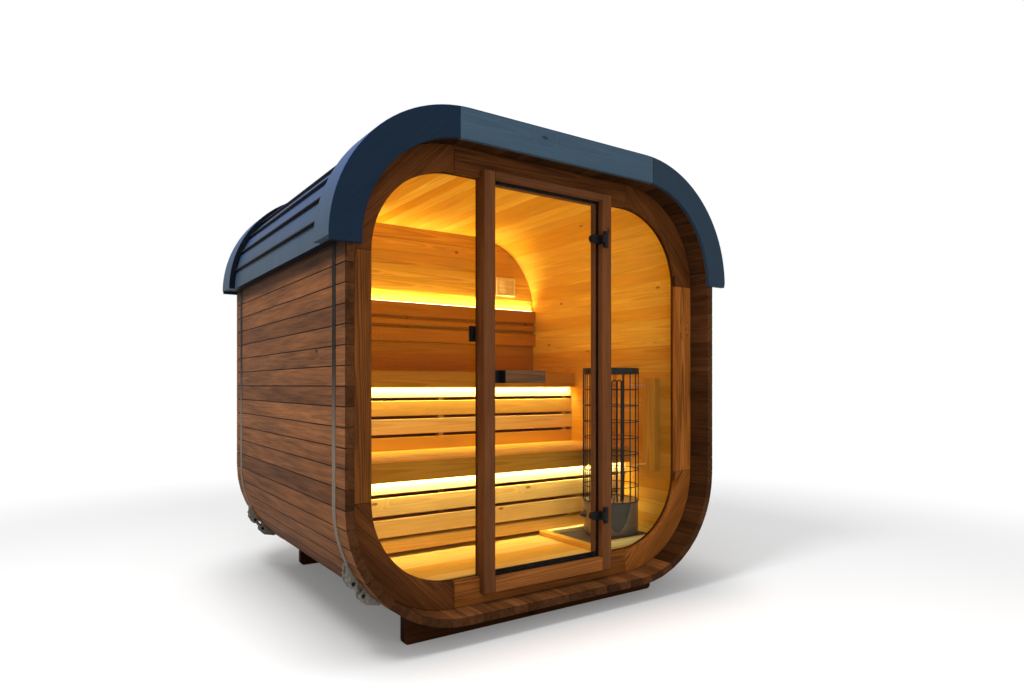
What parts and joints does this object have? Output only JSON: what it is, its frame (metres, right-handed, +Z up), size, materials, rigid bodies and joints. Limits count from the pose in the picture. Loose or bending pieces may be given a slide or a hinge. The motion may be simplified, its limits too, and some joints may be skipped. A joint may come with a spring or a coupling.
{
  "type": "square barrel sauna",
  "caption": "Outdoor sauna with a rounded-square stave shell, a recessed glass front with a hinged glass door, a seamed metal roof, tiered benches and a round cage heater.",
  "frame": {"origin": "at ground level under the middle of the shell", "axes": "+X to the right of someone facing the door, +Y towards the back wall, +Z up"},
  "size_m": [2.5066, 2.052, 2.5233],
  "materials": {
    "stained_staves": "stained spruce, satin",
    "front_frame_wood": "stained spruce, satin",
    "clear_glass": "clear tempered glass",
    "inner_wood": "plain spruce",
    "door_frame_wood": "stained spruce, satin",
    "handle_wood": "grey-brown thermally treated wood",
    "black_fittings": "black satin",
    "fascia_paint": "wood painted dark blue-grey",
    "roof_metal": "coated sheet steel",
    "strap_steel": "grey band steel",
    "clamp_steel": "galvanised",
    "beam_wood": "stained spruce",
    "bench_wood": "planed spruce",
    "hearth_slate": "dark slab, matte",
    "heater_steel": "brushed stainless steel",
    "heater_black": "dark grey, satin",
    "cage_wire": "black",
    "element_steel": "dark oxidised steel",
    "light_strip": "glowing diffuser"
  },
  "bodies": {
    "house": {"wall_left": "stained_staves", "wall_right": "stained_staves", "shell_floor": "stained_staves", "shell_ceiling": "stained_staves", "shell_corner_top_left": "stained_staves", "shell_corner_top_right": "stained_staves", "shell_corner_bottom_left": "stained_staves", "shell_corner_bottom_right": "stained_staves", "front_rail_top": "front_frame_wood", "front_rail_bottom": "front_frame_wood", "front_stile_left": "front_frame_wood", "front_stile_right": "front_frame_wood", "front_corner_top_left": "front_frame_wood", "front_corner_top_right": "front_frame_wood", "front_corner_bottom_left": "front_frame_wood", "front_corner_bottom_right": "front_frame_wood", "glass_left": "clear_glass", "glass_right": "clear_glass", "glass_beads": "inner_wood", "door_jamb_left": "door_frame_wood", "door_jamb_right": "door_frame_wood", "door_head": "door_frame_wood", "door_sill": "door_frame_wood", "hinge_plates": "black_fittings", "back_wall": "inner_wood", "fascia_front": "fascia_paint", "fascia_back": "fascia_paint", "roof_cover": "roof_metal", "verge_flashing_front": "roof_metal", "verge_flashing_back": "roof_metal", "straps": "strap_steel", "strap_clamps": "clamp_steel", "beam_front": "beam_wood", "beam_back": "beam_wood", "floor_deck": "inner_wood", "hearth_frame": "bench_wood", "hearth_plate": "hearth_slate", "upper_bench": "bench_wood", "lower_bench": "bench_wood", "bench_aprons": "bench_wood", "bench_risers": "bench_wood", "backrest": "bench_wood", "led_strips": "light_strip", "heater_base": "heater_steel", "heater_panel": "heater_black", "heater_cage": "cage_wire", "heater_elements": "element_steel", "heater_board": "bench_wood", "vent": "bench_wood", "switch_box": "black_fittings"},
    "door": {"door_glass": "clear_glass", "door_handle": "handle_wood", "door_fittings": "black_fittings"}
  },
  "joints": [
    {"name": "door_hinge", "type": "hinge", "parent": "house", "child": "door", "pos_m": [0.359, -0.92, 1.265], "axis": [0, 0, 1], "range_deg": [0, 100]}
  ]
}
